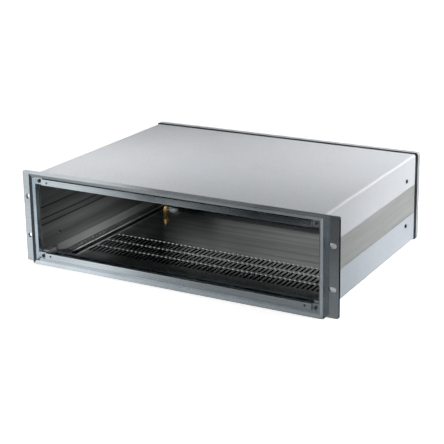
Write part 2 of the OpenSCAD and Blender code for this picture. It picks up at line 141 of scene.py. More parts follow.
class Finishes:
    """All finishes of the case."""

    FRAME = MetalFinish("frame_alloy", (0.57, 0.63, 0.67), roughness=0.17, haze=0.03,
                        grain=Grain.ALONG_X, grain_tone=0.05, grain_depth=0.004,
                        speckle_depth=0.001)
    # The rear frame gets painted shade on its faces towards the middle of the case.
    REAR = PaintedShadeFinish("rear_alloy", (0.62, 0.65, 0.67), metallic=0.4, roughness=0.36,
                        grain=Grain.ALONG_X)
    # Painted shade: inner faces and ledges darker than the outer face, and more metallic.
    SIDE = SheetFinish("side_alloy", (0.47, 0.49, 0.48), metallic=0.3, roughness=0.34, haze=0.04,
                       grain=Grain.ALONG_Y, grain_tone=0.1, edge_metallic=0.15, edge_axis=Axis.X,
                       edge_limit=0.2065, inner_axis=Axis.X, inner_side=-1.0,
                       inner_color=(0.25, 0.26, 0.26), inner_metallic=0.5, inner_roughness=0.34,
                       inner_grain=Grain.BROAD_Y, ledge_limit=0.2065, groove_at=0.2163,
                       groove_reach=0.0005)
    COVER = MetalFinish("cover_sheet", (0.62, 0.64, 0.67), metallic=0.1, roughness=0.42,
                        grain_tone=0.01, speckle_tone=0.09, speckle_depth=0.05)
    BOTTOM = SheetFinish("bottom_sheet", (0.54, 0.58, 0.63), metallic=0.2, roughness=0.42,
                         grain=Grain.ALONG_X, grain_tone=0.08, edge_limit=0.0029,
                         edge_roughness=0.08, inner_color=(0.64, 0.67, 0.67),
                         inner_metallic=0.93, inner_roughness=0.09)
    PANEL = MetalFinish("panel_sheet", (0.5, 0.51, 0.5), metallic=0.4, roughness=0.36,
                        grain=Grain.ALONG_X, grain_tone=0.22, grain_depth=0.06)
    # The rails get painted shade on their faces towards the middle of the case.
    RAIL = PaintedShadeFinish("rail_alloy", (0.57, 0.64, 0.68), roughness=0.12, haze=0.02,
                        grain=Grain.ALONG_X, grain_depth=0.004, speckle_depth=0.001)
    BLOCK = MetalFinish("block_alloy", (0.6, 0.62, 0.64), metallic=0.35, roughness=0.46,
                        grain=Grain.ALONG_Y)
    PLATED = MetalFinish("plated_steel", (0.72, 0.72, 0.7), roughness=0.2, haze=0.03,
                         speckle_tone=0.1)
    # Painted shade: dark copy of the plated steel for the front frame screws in recessed corners.
    PLATED_PAINTED_SHADE = MetalFinish("plated_steel", (0.2, 0.2, 0.21), roughness=0.2, haze=0.03,
                           speckle_tone=0.1)
    BLACK = MetalFinish("black_steel", (0.018, 0.018, 0.02), metallic=0.3, roughness=0.42)
    BRASS = MetalFinish("brass", (0.9, 0.56, 0.2), metallic=0.7, roughness=0.2, haze=0.03,
                        grain=Grain.ALONG_Z, grain_tone=0.12)


class NodeTree:
    """Short calls for adding and joining shader nodes."""

    # Colour sockets of a Mix node, whose names its other sockets share
    MIX_INPUTS = (6, 7)
    MIX_OUTPUT = 2

    def __init__(self, tree: bpy.types.NodeTree) -> None:
        """Keeps the tree that nodes are added to."""
        self.tree = tree

    @classmethod
    def of(cls, owner: bpy.types.Material | bpy.types.World) -> "NodeTree":
        """Starts the empty node tree of a material or a world.

        Args:
            owner: The material or world.

        Returns:
            Short calls for its tree.
        """
        owner.use_nodes = True
        owner.node_tree.nodes.clear()
        return cls(owner.node_tree)

    def add(self, kind: str, **settings: object) -> bpy.types.Node:
        """Adds a node.

        Args:
            kind: The node's type name.
            **settings: Properties to set on the node.

        Returns:
            The new node.
        """
        node = self.tree.nodes.new(kind)
        for name, value in settings.items():
            setattr(node, name, value)
        return node

    def join(self, source: Socket, target: Socket) -> None:
        """Links one socket to another."""
        self.tree.links.new(source, target)

    def feed(self, value: object, target: Socket) -> None:
        """Links a socket to another, or sets a plain value on it.

        Args:
            value: The socket or plain value.
            target: The socket that takes it.
        """
        if isinstance(value, Socket):
            self.join(value, target)
        else:
            target.default_value = value

    def part(self, vector: Socket, axis: Axis) -> Socket:
        """Gives a vector's part along an axis.

        Args:
            vector: Socket of the vector.
            axis: The axis.

        Returns:
            The part's socket.
        """
        node = self.add("ShaderNodeSeparateXYZ")
        self.join(vector, node.inputs[0])
        return node.outputs[axis.value]

    def math(self, operation: str, *operands: Value) -> Socket:
        """Adds a Math node.

        Args:
            operation: The Math node's operation.
            *operands: Its operands, which are sockets or plain numbers.

        Returns:
            The node's output socket.
        """
        node = self.add("ShaderNodeMath", operation=operation)
        for socket, value in zip(node.inputs, operands):
            self.feed(value, socket)
        return node.outputs[0]

    def ramp(self, value: Socket, start: float, end: float, low: float = 0.0,
             high: float = 1.0) -> Socket:
        """Adds a smooth step from one input value to another.

        Args:
            value: The socket to map.
            start: Input at which the output is low.
            end: Input at which the output is high.
            low: Output up to the start.
            high: Output past the end.

        Returns:
            The mapped socket.
        """
        node = self.add("ShaderNodeMapRange", interpolation_type="SMOOTHSTEP")
        self.join(value, node.inputs["Value"])
        names = ("From Min", "From Max", "To Min", "To Max")
        for name, number in zip(names, (start, end, low, high)):
            node.inputs[name].default_value = number
        return node.outputs["Result"]

    def blend(self, factor: Socket, first: Socket | Color, second: Socket | Color) -> Socket:
        """Adds a colour mix.

        Args:
            factor: Share of the second colour.
            first: Colour or socket at factor 0.
            second: Colour or socket at factor 1.

        Returns:
            The mixed colour's socket.
        """
        node = self.add("ShaderNodeMix", data_type="RGBA")
        self.join(factor, node.inputs["Factor"])
        for index, value in zip(self.MIX_INPUTS, (first, second)):
            self.feed(value if isinstance(value, Socket) else (*value, 1.0), node.inputs[index])
        return node.outputs[self.MIX_OUTPUT]


class EffectGroups:
    """Shader node groups that several finishes share, each built once."""

    CONTRAST = (0.3, 0.7)

    def __init__(self) -> None:
        """Builds the groups."""
        self.lines = self._noise_group("brushing_lines", "Lines per metre", 5.0, 0.62)
        self.speckle = self._noise_group("fine_speckle", "Grains per metre", 2.0, 0.5)
        self.haze = self._noise_group("handling_haze", "Patches per metre", 3.0, 0.55)

    def _noise_group(self, name: str, density: str, detail: float,
                     roughness: float) -> bpy.types.NodeTree:
        """Builds a group that stretches a noise over the object.

        Args:
            name: The group's name.
            density: Name of the vector input that gives the pattern's density along each axis.
            detail: Octaves of the noise.
            roughness: Share of the finer octaves.

        Returns:
            The group, with the inputs Place and density and the output Tone.
        """
        group = bpy.data.node_groups.new(name, "ShaderNodeTree")
        group.interface.new_socket("Place", in_out="INPUT", socket_type="NodeSocketVector")
        group.interface.new_socket(density, in_out="INPUT", socket_type="NodeSocketVector")
        group.interface.new_socket("Tone", in_out="OUTPUT", socket_type="NodeSocketFloat")
        make = NodeTree(group)
        start = make.add("NodeGroupInput")
        stretch = make.add("ShaderNodeVectorMath", operation="MULTIPLY")
        make.join(start.outputs["Place"], stretch.inputs[0])
        make.join(start.outputs[density], stretch.inputs[1])
        noise = make.add("ShaderNodeTexNoise")
        noise.inputs["Scale"].default_value = 1.0
        noise.inputs["Detail"].default_value = detail
        noise.inputs["Roughness"].default_value = roughness
        make.join(stretch.outputs[0], noise.inputs["Vector"])
        end = make.add("NodeGroupOutput")
        make.join(make.ramp(noise.outputs["Fac"], *self.CONTRAST), end.inputs["Tone"])
        return group


@dataclass
class Look:
    """What a shader needs of a surface, as sockets or plain values."""

    color: Socket
    roughness: Socket
    metallic: Value


class FinishShop:
    """Turns finishes into materials and puts them on pieces."""

    SPECKLE_SIZE = 0.0009
    HAZE_PATCHES = (14.0, 14.0, 14.0)
    BUMP_DISTANCE = 0.0004
    EDGE_SLOPE = 0.5
    INNER_SLOPE = 0.8

    def __init__(self) -> None:
        """Builds the shared effects and starts with no material."""
        self.effects = EffectGroups()
        self.made: dict[MetalFinish, bpy.types.Material] = {}

    def material(self, finish: MetalFinish) -> bpy.types.Material:
        """Gives the finish's material, building it the first time.

        Args:
            finish: The finish wanted.

        Returns:
            The material.
        """
        if finish not in self.made:
            self.made[finish] = self._build(finish)
        return self.made[finish]

    def dress(self, piece: Piece, finish: MetalFinish) -> None:
        """Puts a finish on a piece or a CAD node as its only material."""
        piece.data.materials.clear()
        piece.data.materials.append(self.material(finish))

    @staticmethod
    def _effect(make: NodeTree, group: bpy.types.NodeTree, place: Socket,
                density: Triple) -> Socket:
        """Places a shared effect in a material.

        Args:
            make: The material's node tree.
            group: The effect's group.
            place: Socket of the object coordinates.
            density: The pattern's density along each axis.

        Returns:
            The effect's Tone socket.
        """
        node = make.add("ShaderNodeGroup", node_tree=group)
        make.join(place, node.inputs["Place"])
        node.inputs[1].default_value = density
        return node.outputs["Tone"]

    def _build(self, finish: MetalFinish) -> bpy.types.Material:
        """Builds the node tree of a finish.

        Args:
            finish: The finish to build.

        Returns:
            The new material.
        """
        material = bpy.data.materials.new(finish.slot)
        make = NodeTree.of(material)
        place = make.add("ShaderNodeTexCoord").outputs["Object"]
        lines = self._effect(make, self.effects.lines, place, finish.grain.value)
        grains = (1.0 / self.SPECKLE_SIZE,) * 3
        speckle = self._effect(make, self.effects.speckle, place, grains)
        haze = self._effect(make, self.effects.haze, place, self.HAZE_PATCHES)
        rough = make.ramp(haze, 0.0, 1.0, finish.roughness - finish.haze,
                          finish.roughness + finish.haze)
        look = Look(self._toned(make, finish, lines, speckle), rough, finish.metallic)
        if isinstance(finish, SheetFinish):
            self._add_inner_look(make, finish, place, look)
            if finish.edge_limit:
                edges = self._cut_edges(make, finish, place)
                self._overlay(make, look, edges, finish.edge_color, finish.edge_roughness,
                              finish.edge_metallic)

        shader = make.add("ShaderNodeBsdfPrincipled")
        make.feed(look.color, shader.inputs["Base Color"])
        make.feed(look.roughness, shader.inputs["Roughness"])
        make.feed(look.metallic, shader.inputs["Metallic"])
        height = make.math("ADD", make.math("MULTIPLY", lines, finish.grain_depth),
                           make.math("MULTIPLY", speckle, finish.speckle_depth))
        bump = make.add("ShaderNodeBump")
        bump.inputs["Distance"].default_value = self.BUMP_DISTANCE
        make.join(height, bump.inputs["Height"])
        make.join(bump.outputs["Normal"], shader.inputs["Normal"])
        end = make.add("ShaderNodeOutputMaterial")
        make.join(shader.outputs["BSDF"], end.inputs["Surface"])
        return material

    @staticmethod
    def _toned(make: NodeTree, finish: MetalFinish, lines: Socket, speckle: Socket) -> Socket:
        """Varies a finish's colour by the brushing lines and the speckle.

        Args:
            make: The material's node tree.
            finish: The finish that gives the colour and how much it varies.
            lines: Tone of the brushing lines.
            speckle: Tone of the speckle.

        Returns:
            The varied colour's socket.
        """
        total = finish.grain_tone + finish.speckle_tone
        share = make.math("ADD", make.math("MULTIPLY", lines, finish.grain_tone / total),
                          make.math("MULTIPLY", speckle, finish.speckle_tone / total))
        low = tuple(c * (1.0 - total) for c in finish.color)
        high = tuple(min(1.0, c * (1.0 + total)) for c in finish.color)
        return make.blend(share, low, high)

    def _add_inner_look(self, make: NodeTree, finish: SheetFinish, place: Socket,
                        look: Look) -> None:
        """Gives the faces inside the case their own finish and paints shade into the grooves.

        Args:
            make: The material's node tree.
            finish: The sheet's finish.
            place: Socket of the object coordinates.
            look: The sheet's look, which is changed.
        """
        streaks = self._effect(make, self.effects.lines, place, finish.inner_grain.value)
        low, high = (tuple(c * (1.0 + side * finish.inner_tone) for c in finish.inner_color)
                     for side in (-1.0, 1.0))
        self._overlay(make, look, self._inner_faces(make, finish, place),
                      make.blend(streaks, low, high), finish.inner_roughness,
                      finish.inner_metallic)
        # Painted shade: the groove bottoms are darkened.
        if finish.groove_reach:
            groove_shade_mask = make.math("COMPARE", self._along(make, place, finish.inner_axis),
                               finish.groove_at, finish.groove_reach)
            look.color = make.blend(groove_shade_mask, look.color, finish.painted_groove_shade)

    def _overlay(self, make: NodeTree, look: Look, mask: Socket, color: Socket | Color,
                 roughness: float, metallic: float) -> None:
        """Changes a look where a mask is 1.

        Args:
            make: The material's node tree.
            look: The look, which is changed.
            mask: Where it changes.
            color: The colour there.
            roughness: The roughness there.
            metallic: The share of bare metal there.
        """
        look.color = make.blend(mask, look.color, color)
        look.roughness = self._mixed(make, mask, look.roughness, roughness)
        look.metallic = self._mixed(make, mask, look.metallic, metallic)

    @staticmethod
    def _mixed(make: NodeTree, share: Socket, value: Value, other: float) -> Socket:
        """Mixes a value with a plain number.

        Args:
            make: The material's node tree.
            share: Share of the number.
            value: The socket or number at share 0.
            other: The number at share 1.

        Returns:
            The mixed value's socket.
        """
        plain = isinstance(value, float)
        spread = other - value if plain else make.math("SUBTRACT", other, value)
        return make.math("MULTIPLY_ADD", share, spread, value)

    @staticmethod
    def _facing(make: NodeTree, axis: Axis) -> Socket:
        """Gives how far the surface faces along an axis."""
        return make.part(make.add("ShaderNodeTexCoord").outputs["Normal"], axis)

    @staticmethod
    def _along(make: NodeTree, place: Socket, axis: Axis) -> Socket:
        """Gives the distance from the part's middle along an axis."""
        return make.math("ABSOLUTE", make.part(place, axis))

    def _inner_faces(self, make: NodeTree, finish: SheetFinish, place: Socket) -> Socket:
        """Gives 1 on the faces of a wall that face into the case and on its ledges.

        Args:
            make: The material's node tree.
            finish: The finish that says which faces look inside.
            place: Socket of the object coordinates.

        Returns:
            The mask's socket.
        """
        axis = finish.inner_axis
        outward = make.math("MULTIPLY", make.math("SIGN", make.part(place, axis)),
                            self._facing(make, axis))
        inward = make.math("MULTIPLY", outward, finish.inner_side)
        inner = make.math("GREATER_THAN", inward, self.INNER_SLOPE)
        if not finish.ledge_limit:
            return inner
        ledge = make.math("LESS_THAN", self._along(make, place, axis), finish.ledge_limit)
        return make.math("MAXIMUM", inner, ledge)

    def _cut_edges(self, make: NodeTree, finish: SheetFinish, place: Socket) -> Socket:
        """Gives 1 on cut edges.

        Args:
            make: The material's node tree.
            finish: The finish that says where cut edges lie.
            place: Socket of the object coordinates.

        Returns:
            The mask's socket.
        """
        lean = make.math("ABSOLUTE", self._facing(make, Axis.Z))
        upright = make.math("LESS_THAN", lean, self.EDGE_SLOPE)
        away = self._along(make, place, finish.edge_axis)
        return make.math("MULTIPLY", upright, make.math("LESS_THAN", away, finish.edge_limit))


class Bench:
    """Modelling steps that several pieces share."""

    MERGE = 1e-5
    SPIN_MERGE = 2e-6
    FLAT = math.radians(0.6)
    CREASE = math.radians(17.0)
    SHARP = math.radians(38.0)
    SMOOTH = math.radians(32.0)
    EDGE_FACES = 2
    FACE_WEIGHT = 100

    @staticmethod
    def clear() -> None:
        """Leaves edit mode and deselects everything."""
        if bpy.context.object and bpy.context.object.mode != "OBJECT":
            bpy.ops.object.mode_set(mode="OBJECT")
        bpy.ops.object.select_all(action="DESELECT")

    @classmethod
    def take(cls, piece: Piece) -> None:
        """Makes a piece the only selected and the active one.

        Args:
            piece: The piece to work on.
        """
        cls.clear()
        piece.select_set(True)
        bpy.context.view_layer.objects.active = piece

    @classmethod
    def copy_node(cls, node: str, name: str) -> Piece:
        """Copies a CAD node's mesh into a new object and merges its loose triangles.

        Args:
            node: The CAD node's name.
            name: The new piece's name.

        Returns:
            The new piece.
        """
        piece = bpy.data.objects.new(name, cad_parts[node].data.copy())
        bpy.context.scene.collection.objects.link(piece)
        cls.take(piece)
        bpy.ops.object.mode_set(mode="EDIT")
        bpy.ops.mesh.select_all(action="SELECT")
        bpy.ops.mesh.remove_doubles(threshold=cls.MERGE)
        bpy.ops.mesh.dissolve_limited(angle_limit=cls.FLAT)
        bpy.ops.object.mode_set(mode="OBJECT")
        return piece

    @classmethod
    def soften(cls, piece: Piece, width: float) -> None:
        """Rounds a piece's sharp edges, keeps its blunt ones and smooths its round faces.

        Args:
            piece: The piece to round.
            width: Width of the rounded edge in metres.
        """
        cls.take(piece)
        bpy.ops.object.mode_set(mode="EDIT")
        bpy.ops.mesh.select_mode(type="EDGE")
        bpy.ops.mesh.select_all(action="DESELECT")
        bpy.ops.mesh.edges_select_sharp(sharpness=cls.CREASE)
        bpy.ops.mesh.mark_sharp()
        bpy.ops.mesh.select_all(action="DESELECT")
        bpy.ops.mesh.edges_select_sharp(sharpness=cls.SHARP)
        bpy.ops.mesh.mark_sharp(clear=True)
        bpy.ops.mesh.bevel(offset=width, segments=cls.EDGE_FACES, affect="EDGES",
                           clamp_overlap=True)
        bpy.ops.object.mode_set(mode="OBJECT")
        cls.smooth(piece)

    @classmethod
    def smooth(cls, piece: Piece) -> None:
        """Smooths a piece's round faces and edges and keeps its large faces flat.

        Args:
            piece: The piece to smooth.
        """
        cls.take(piece)
        bpy.ops.object.shade_smooth_by_angle(angle=cls.SMOOTH)
        step = piece.modifiers.new("flat_faces", "WEIGHTED_NORMAL")
        step.keep_sharp = True
        step.weight = cls.FACE_WEIGHT
        bpy.ops.object.modifier_apply(modifier=step.name)

    @classmethod
    def lathe(cls, name: str, profile: Profile, steps: int) -> Piece:
        """Turns a profile about Z into a closed solid.

        Args:
            name: The new piece's name.
            profile: Radius and height of each point in metres, from one end of Z to the other.
            steps: Faces round the axis.

        Returns:
            The new piece.
        """
        points = [Vector((radius, 0.0, height)) for radius, height in profile]
        cls.clear()
        bpy.ops.mesh.primitive_plane_add(size=MM, location=(0, 0, 0))
        piece = bpy.context.object
        piece.name = piece.data.name = name
        bpy.ops.object.mode_set(mode="EDIT")
        bpy.ops.mesh.select_mode(type="VERT")
        bpy.ops.mesh.select_all(action="SELECT")
        bpy.ops.mesh.merge(type="CENTER")
        bpy.ops.transform.translate(value=points[0])
        for start, end in zip(points, points[1:]):
            bpy.ops.mesh.extrude_vertices_move(TRANSFORM_OT_translate={"value": end - start})
        bpy.ops.mesh.select_all(action="SELECT")
        bpy.ops.mesh.spin(steps=steps, angle=math.tau, center=(0, 0, 0), axis=(0, 0, 1))
        bpy.ops.mesh.select_all(action="SELECT")
        bpy.ops.mesh.remove_doubles(threshold=cls.SPIN_MERGE)
        bpy.ops.mesh.normals_make_consistent(inside=False)
        bpy.ops.object.mode_set(mode="OBJECT")
        return piece

    @classmethod
    def cut(cls, piece: Piece, tool: Piece, operation: str = "DIFFERENCE") -> None:
        """Cuts a piece with a tool and removes the tool.

        Args:
            piece: The piece that is cut.
            tool: The solid that cuts it.
            operation: Boolean operation.
        """
        cls.take(piece)
        step = piece.modifiers.new("cut", "BOOLEAN")
        step.operation = operation
        step.object = tool
        step.solver = "EXACT"
        bpy.ops.object.modifier_apply(modifier=step.name)
        bpy.data.objects.remove(tool)

    @classmethod
    def copies(cls, model: Piece, places: list[Matrix], name: str) -> Piece:
        """Copies a model to several places, joins the copies and removes the model.

        Args:
            model: The model, built about the origin.
            places: Where each copy goes.
            name: Name of the joined piece.

        Returns:
            The joined piece.
        """
        made = []
        for place in places:
            copy = bpy.data.objects.new(name, model.data.copy())
            copy.data.transform(place)
            bpy.context.scene.collection.objects.link(copy)
            made.append(copy)
        cls.clear()
        for copy in made:
            copy.select_set(True)
        bpy.context.view_layer.objects.active = made[0]
        bpy.ops.object.join()
        bpy.data.objects.remove(model)
        made[0].name = name
        return made[0]


@dataclass
class SubAssembly:
    """Base of the case's sub-assemblies.

    Attributes:
        shop: Where the materials come from.
    """

    shop: FinishShop

    def place(self, piece: Piece, finish: MetalFinish, *nodes: str) -> None:
        """Dresses a new piece and lets it stand for CAD nodes.

        Args:
            piece: The finished piece.
            finish: Its finish.
            *nodes: The CAD nodes that it stands for.
        """
        self.shop.dress(piece, finish)
        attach(piece, BODY)
        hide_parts(*nodes)
        LOG.info("%s stands for %s", piece.name, ", ".join(nodes))

    def keep(self, node: str, finish: MetalFinish) -> None:
        """Dresses a CAD node whose shape stays as it is."""
        self.shop.dress(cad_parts[node], finish)
        LOG.info("%s keeps its own shape", node)

    def soften(self, node: str, finish: MetalFinish, width: float, state: str = "softened") -> None:
        """Lets a copy with rounded edges stand for a CAD node.

        Args:
            node: The CAD node's name.
            finish: The copy's finish.
            width: Width of its rounded edges in metres.
            state: Last word of its name.
        """
        piece = Bench.copy_node(node, f"{node}_{state}")
        Bench.soften(piece, width)
        self.place(piece, finish, node)


@dataclass
class Frames(SubAssembly):
    """The front frame with its ears and the rear frame, both with softened edges."""

    edge: float = 0.45 * MM

    def build(self) -> None:
        """Builds both frames."""
        self.soften("front_frame", Finishes.FRAME, self.edge)
        self.soften("rear_frame", Finishes.REAR, self.edge)


@dataclass
class Rails(SubAssembly):
    """Front and rear rails and the corner blocks at their ends."""

    rail_edge: float = 0.25 * MM
    block_edge: float = 0.4 * MM

    def build(self) -> None:
        """Builds the rails and the blocks."""
        for node in ("front_top_rail", "front_bottom_rail", "rear_top_rail", "rear_bottom_rail"):
            self.soften(node, Finishes.RAIL, self.rail_edge)
        for node in ("front_corner_blocks", "rear_corner_blocks"):
            self.soften(node, Finishes.BLOCK, self.block_edge)


@dataclass
class Shell(SubAssembly):
    """Covers, side panels and rear panel."""

    def build(self) -> None:
        """Dresses the sheets and the side panels."""
        self.keep("top_cover", Finishes.COVER)
        self.keep("bottom_cover", Finishes.BOTTOM)
        self.keep("left_side_panel", Finishes.SIDE)
        self.keep("right_side_panel", Finishes.SIDE)
        self.keep("rear_panel", Finishes.PANEL)


class Facing(Enum):
    """Direction in which screw heads face."""

    FRONT = (0.0, -1.0, 0.0)
    REAR = (0.0, 1.0, 0.0)
    SIDES = (1.0, 0.0, 0.0)


@dataclass
class Fasteners(SubAssembly):
    """Cross recess screws, press nuts and the countersunk rail screws."""

    head_r: float = 2.9 * MM
    head_h: float = 1.9 * MM
    dome_share: float = 0.45
    dome_steps: int = 6
    shank_r: float = 1.45 * MM
    pitch: float = 0.5 * MM
    thread_d: float = 0.28 * MM
    recess_w: float = 0.95 * MM
    recess_l: float = 3.3 * MM
    recess_d: float = 1.25 * MM
    recess_taper: Triple = (0.45, 0.7, 1.0)
    lower_slope: float = -0.5
    round_steps: int = 32

    def build(self) -> None:
        """Builds every row of screws and dresses the rest."""
        rows = (
            # The front frame screws take plated steel with painted shade.
            ("front_frame_screws", Facing.FRONT, Finishes.PLATED_PAINTED_SHADE),
            ("rear_frame_screws", Facing.REAR, Finishes.PLATED),
            ("rear_panel_screws", Facing.REAR, Finishes.PLATED),
            ("top_cover_screws", Facing.SIDES, Finishes.BLACK),
            ("bottom_cover_screws", Facing.SIDES, Finishes.BLACK),
        )
        for node, facing, finish in rows:
            self._row(node, facing, finish)
        for node in ("front_rail_screws", "rear_rail_screws", "top_cover_nuts",
                     "bottom_cover_nuts"):
            self.keep(node, Finishes.PLATED)

    def _row(self, node: str, facing: Facing, finish: MetalFinish) -> None:
        """Builds the screws of one CAD node.

        Args:
            node: The CAD node.
            facing: Where its heads face.
            finish: Finish of the screws.
        """
        low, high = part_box(node)
        if facing is Facing.SIDES:
            ends = [(x, y, (low.z + high.z) / 2) for x in (low.x, high.x)
                    for y in (low.y + self.head_r, high.y - self.head_r)]
            fitted = self._fitted_length(node)
        else:
            top = low.y if facing is Facing.FRONT else high.y
            ends = [(x, top, z) for x in (low.x + self.head_r, high.x - self.head_r)
                    for z in (low.z + self.head_r, high.z - self.head_r)]
            fitted = high.y - low.y
        places = []
        for end in ends:
            heading = Vector(facing.value)
            if facing is Facing.SIDES:
                heading *= math.copysign(1.0, end[0])
            turn = heading.to_track_quat("Z", "Y").to_matrix().to_4x4()
            places.append(Matrix.Translation(Vector(end)) @ turn)
        model = self._screw(fitted - self.head_h)
        self.place(Bench.copies(model, places, f"{node}_threaded"), finish, node)

    @staticmethod
    def _fitted_length(node: str) -> float:
        """Measures a side screw's whole length from the CAD mesh."""
        xs = [abs(v.co.x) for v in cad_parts[node].data.vertices]
        return max(xs) - min(xs)

    def _screw(self, length: float) -> Piece:
        """Models one screw along Z with the top of its head at zero.

        Args:
            length: Length of the shank under the head.

        Returns:
            The screw.
        """
        seat = -self.head_h
        dome = self.head_h * self.dome_share
        profile: Profile = [(0.0, 0.0)]
        for i in range(1, self.dome_steps + 1):
            angle = math.pi / 2 * i / self.dome_steps
            profile.append((self.head_r * math.sin(angle), -dome * (1.0 - math.cos(angle))))
        profile.append((self.head_r, seat))
        profile.append((self.shank_r, seat))
        turns = int(length / self.pitch) - 1
        for i in range(turns):
            root = seat - self.pitch * (i + 0.5)
            profile.append((self.shank_r - self.thread_d, root))
            profile.append((self.shank_r, root - self.pitch / 2))
        profile.append((self.shank_r - 2 * self.thread_d, seat - length))
        profile.append((0.0, seat - length))
        screw = Bench.lathe("screw", profile, self.round_steps)
        for turn in (0.0, math.pi / 2):
            Bench.cut(screw, self._recess(turn))
        Bench.smooth(screw)
        return screw

    def _recess(self, turn: float) -> Piece:
        """Models one tapered bar of the cross recess.

        Args:
            turn: Turn of the bar about the screw's axis.

        Returns:
            The cutting tool.
        """
        Bench.clear()
        bpy.ops.mesh.primitive_cube_add(size=1.0, location=(0, 0, 0))
        bar = bpy.context.object
        bpy.ops.object.mode_set(mode="EDIT")
        bpy.ops.transform.resize(value=(self.recess_l, self.recess_w, 2 * self.recess_d))
        bpy.ops.mesh.select_mode(type="FACE")
        bpy.ops.mesh.select_all(action="DESELECT")
        bpy.ops.object.mode_set(mode="OBJECT")
        for face in bar.data.polygons:
            face.select = face.normal.z < self.lower_slope
        bpy.ops.object.mode_set(mode="EDIT")
        bpy.ops.transform.resize(value=self.recess_taper, center_override=(0, 0, 0))
        bpy.ops.mesh.select_all(action="SELECT")
        bpy.ops.transform.rotate(value=turn, orient_axis="Z", center_override=(0, 0, 0))
        bpy.ops.object.mode_set(mode="OBJECT")
        return bar


@dataclass
class EarthTerminal(SubAssembly):
    """The brass stud on the bottom cover with its washers and nuts."""

    pitch: float = 0.8 * MM
    thread_d: float = 0.42 * MM
    chamfer: float = 0.6 * MM
    stud_steps: int = 36
    nut_drop_share: float = 0.6
    tool_reach_share: float = 1.02
    tool_over: float = 0.01 * MM
    tool_steps: int = 48
    edge: float = 0.12 * MM

    def build(self) -> None:
        """Builds the stud, the nuts and the washers."""
        self._stud()
        for node in ("earth_lower_nut", "earth_upper_nut"):
            self._nut(node)
        self.soften("earth_washers", Finishes.BRASS, self.edge, "rounded")

    def _stud(self) -> None:
        """Turns the stud with its thread."""
        low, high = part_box("earth_stud")
        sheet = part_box("earth_washers")[0].z
        head_r = (high.x - low.x) / 2
        stud_r = self._stud_radius(sheet)
        profile: Profile = [(0.0, low.z), (head_r, low.z), (head_r, sheet), (stud_r, sheet)]
        turns = int((high.z - sheet - self.chamfer) / self.pitch)
        for i in range(turns):
            start = sheet + i * self.pitch
            profile.append((stud_r - self.thread_d, start + self.pitch / 2))
            profile.append((stud_r, start + self.pitch))
        profile.append((stud_r - self.chamfer, high.z))
        profile.append((0.0, high.z))
        stud = Bench.lathe("earth_stud_threaded", profile, self.stud_steps)
        middle = (low + high) / 2
        stud.data.transform(Matrix.Translation((middle.x, middle.y, 0.0)))
        Bench.smooth(stud)
        self.place(stud, Finishes.BRASS, "earth_stud")

    @staticmethod
    def _stud_radius(sheet: float) -> float:
        """Measures the stud's radius above the sheet."""
        xs = [v.co.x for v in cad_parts["earth_stud"].data.vertices if v.co.z > sheet + MM]
        return (max(xs) - min(xs)) / 2

    def _nut(self, node: str) -> None:
        """Chamfers a nut's corners with a turned tool.

        Args:
            node: The nut's CAD node.
        """
        low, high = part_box(node)
        nut = Bench.copy_node(node, f"{node}_chamfered")
        middle = (low + high) / 2
        corner = max((v.co.xy - middle.xy).length for v in nut.data.vertices)
        flat = corner * math.cos(math.pi / 6)
        drop = (corner - flat) * self.nut_drop_share
        reach = corner * self.tool_reach_share
        under, over = low.z - self.tool_over, high.z + self.tool_over
        profile: Profile = [(0.0, under), (flat, under), (reach, low.z + drop),
                            (reach, high.z - drop), (flat, over), (0.0, over)]
        tool = Bench.lathe("nut_tool", profile, self.tool_steps)
        tool.data.transform(Matrix.Translation((middle.x, middle.y, 0.0)))
        Bench.cut(nut, tool, "INTERSECT")
        Bench.smooth(nut)
        self.place(nut, Finishes.BRASS, node)


@dataclass
class PhotoCamera:
    """The camera at the photograph's viewing angle.

    Attributes:
        location: Place in metres.
        azimuth: Turn about Z in degrees.
        elevation: Tilt below the horizon in degrees.
        roll: Turn about the line of sight in degrees.
        focal: Focal length in millimetres on the sensor.
        sensor: Sensor width in millimetres.
        shift_y: Vertical shift of the frame.
        near: Nearest distance that shows, in metres.
    """

    location: Triple = (0.792, -1.4246, 0.5821)
    azimuth: float = 29.435
    elevation: float = 15.404
    roll: float = -0.958
    focal: float = 96.76
    sensor: float = 36.0
    shift_y: float = -0.135
    near: float = 0.05

    def build(self) -> None:
        """Adds the camera and makes it the scene's camera."""
        data = bpy.data.cameras.new("photo_camera")
        data.lens = self.focal
        data.sensor_width = self.sensor
        data.shift_y = self.shift_y
        data.clip_start = self.near
        camera = bpy.data.objects.new("photo_camera", data)
        bpy.context.scene.collection.objects.link(camera)
        tilt = math.radians(90.0 - self.elevation)
        turn = Euler((tilt, 0.0, math.radians(self.azimuth))).to_matrix()
        turn = turn @ Matrix.Rotation(math.radians(self.roll), 3, "Z")
        camera.matrix_world = Matrix.Translation(self.location) @ turn.to_4x4()
        bpy.context.scene.camera = camera


@dataclass
class SoftLamp:
    """A soft oval lamp that lights the case and that metal doesn't mirror.

    Attributes:
        name: Its name.
        place: Where it stands.
        target: Where it points.
        size: Its width.
        power: Its power in watts.
        spread: Width of its beam in degrees.
        flatness: Its height as a share of its width.
    """

    name: str
    place: Triple
    target: Triple
    size: float
    power: float
    spread: float = 180.0
    flatness: float = 1.0

    def build(self) -> None:
        """Adds the lamp and turns it to its target."""
        data = bpy.data.lights.new(self.name, "AREA")
        data.shape = "ELLIPSE"
        data.size = self.size
        data.size_y = self.size * self.flatness
        data.energy = self.power
        data.spread = math.radians(self.spread)
        lamp = bpy.data.objects.new(self.name, data)
        bpy.context.scene.collection.objects.link(lamp)
        lamp.visible_glossy = False
        lamp.location = self.place
        aim = Vector(self.target) - Vector(self.place)
        lamp.rotation_euler = aim.to_track_quat("-Z", "Y").to_euler()


